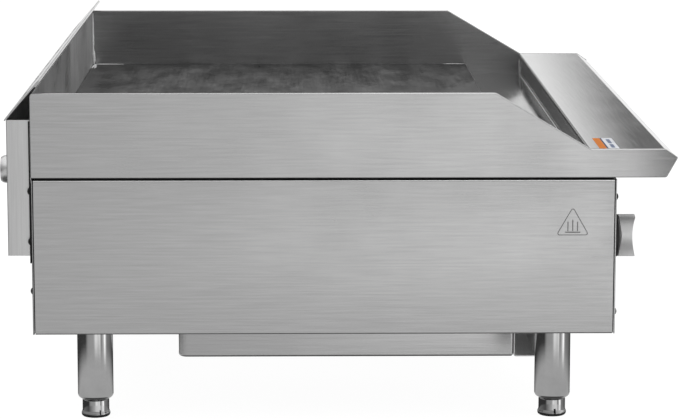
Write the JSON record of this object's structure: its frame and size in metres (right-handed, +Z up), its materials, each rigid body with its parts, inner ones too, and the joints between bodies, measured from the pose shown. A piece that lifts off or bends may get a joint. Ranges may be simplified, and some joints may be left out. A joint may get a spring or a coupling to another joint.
{
  "type": "flat top griddle",
  "caption": "Countertop gas griddle: steel plate with splash guards, grease trough and front shelf on a steel body with control knobs, a slide-out grease tray and levelling legs.",
  "frame": {"origin": "on the counter, under the middle of the whole object's bounding box", "axes": "+X to the cook's right along the plate's width, -Y towards the cook, +Z up"},
  "size_m": [0.9144, 0.7866, 0.3696],
  "materials": {
    "stainless": "brushed stainless, fine grain along the sheet",
    "plate_steel": "ground carbon steel, oiled and faintly mottled",
    "inner_steel": "plain coated sheet steel",
    "black_pipe": "black gas pipe",
    "brass": "plain brass",
    "knob_metal": "satin metal",
    "black_plastic": "black moulded plastic",
    "leg_chrome": "polished",
    "pad_rubber": "matt black",
    "gasket": "matt black sealing strip"
  },
  "bodies": {
    "griddle_body": {"left_splash_guard": "stainless", "right_splash_guard": "stainless", "rear_splash_guard": "stainless", "grease_trough": "stainless", "front_shelf": "stainless", "flue_box": "stainless", "flue_deflector": "stainless", "left_side_panel": "stainless", "right_side_panel": "stainless", "control_panel": "stainless", "rear_panel": "stainless", "gas_inlet_coupling": "stainless", "griddle_plate": "plate_steel", "bottom_pan": "inner_steel", "grease_chute": "inner_steel", "front_heat_baffle": "inner_steel", "left_heat_shield": "inner_steel", "right_heat_shield": "inner_steel", "front_burner_rail": "inner_steel", "rear_burner_rail": "inner_steel", "burner_1": "inner_steel", "burner_2": "inner_steel", "burner_3": "inner_steel", "left_tray_rail": "inner_steel", "right_tray_rail": "inner_steel", "gas_manifold": "black_pipe", "manifold_elbow": "black_pipe", "supply_pipe": "black_pipe", "pilot_1": "brass", "pilot_2": "brass", "pilot_3": "brass", "gas_valve_1": "brass", "gas_valve_2": "brass", "gas_valve_3": "brass", "leg_sleeve_front_left": "leg_chrome", "leg_sleeve_front_right": "leg_chrome", "leg_sleeve_rear_left": "leg_chrome", "leg_sleeve_rear_right": "leg_chrome", "top_gasket": "gasket"},
    "knob_1": {"valve_stem_1": "brass", "knob_skirt_1": "black_plastic", "knob_grip_1": "knob_metal"},
    "knob_2": {"valve_stem_2": "brass", "knob_skirt_2": "black_plastic", "knob_grip_2": "knob_metal"},
    "knob_3": {"valve_stem_3": "brass", "knob_skirt_3": "black_plastic", "knob_grip_3": "knob_metal"},
    "grease_drawer": {"grease_tray": "stainless", "tray_handle": "stainless"},
    "foot_front_left": {"leg_foot_front_left": "leg_chrome", "foot_pad_front_left": "pad_rubber"},
    "foot_front_right": {"leg_foot_front_right": "leg_chrome", "foot_pad_front_right": "pad_rubber"},
    "foot_rear_left": {"leg_foot_rear_left": "leg_chrome", "foot_pad_rear_left": "pad_rubber"},
    "foot_rear_right": {"leg_foot_rear_right": "leg_chrome", "foot_pad_rear_right": "pad_rubber"}
  },
  "joints": [
    {"name": "knob_1_turn", "type": "hinge", "parent": "griddle_body", "child": "knob_1", "pos_m": [-0.3048, -0.33069, 0.1796], "axis": [0, -1, 0], "range_deg": [0, 90]},
    {"name": "knob_2_turn", "type": "hinge", "parent": "griddle_body", "child": "knob_2", "pos_m": [0, -0.33069, 0.1796], "axis": [0, -1, 0], "range_deg": [0, 90]},
    {"name": "knob_3_turn", "type": "hinge", "parent": "griddle_body", "child": "knob_3", "pos_m": [0.3048, -0.33069, 0.1796], "axis": [0, -1, 0], "range_deg": [0, 90]},
    {"name": "grease_drawer_slide", "type": "slide", "parent": "griddle_body", "child": "grease_drawer", "axis": [0, -1, 0], "range_m": [0, 0.35]},
    {"name": "foot_front_left_screw", "type": "slide", "parent": "griddle_body", "child": "foot_front_left", "axis": [0, 0, -1], "range_m": [0, 0.02]},
    {"name": "foot_front_right_screw", "type": "slide", "parent": "griddle_body", "child": "foot_front_right", "axis": [0, 0, -1], "range_m": [0, 0.02]},
    {"name": "foot_rear_left_screw", "type": "slide", "parent": "griddle_body", "child": "foot_rear_left", "axis": [0, 0, -1], "range_m": [0, 0.02]},
    {"name": "foot_rear_right_screw", "type": "slide", "parent": "griddle_body", "child": "foot_rear_right", "axis": [0, 0, -1], "range_m": [0, 0.02]}
  ]
}
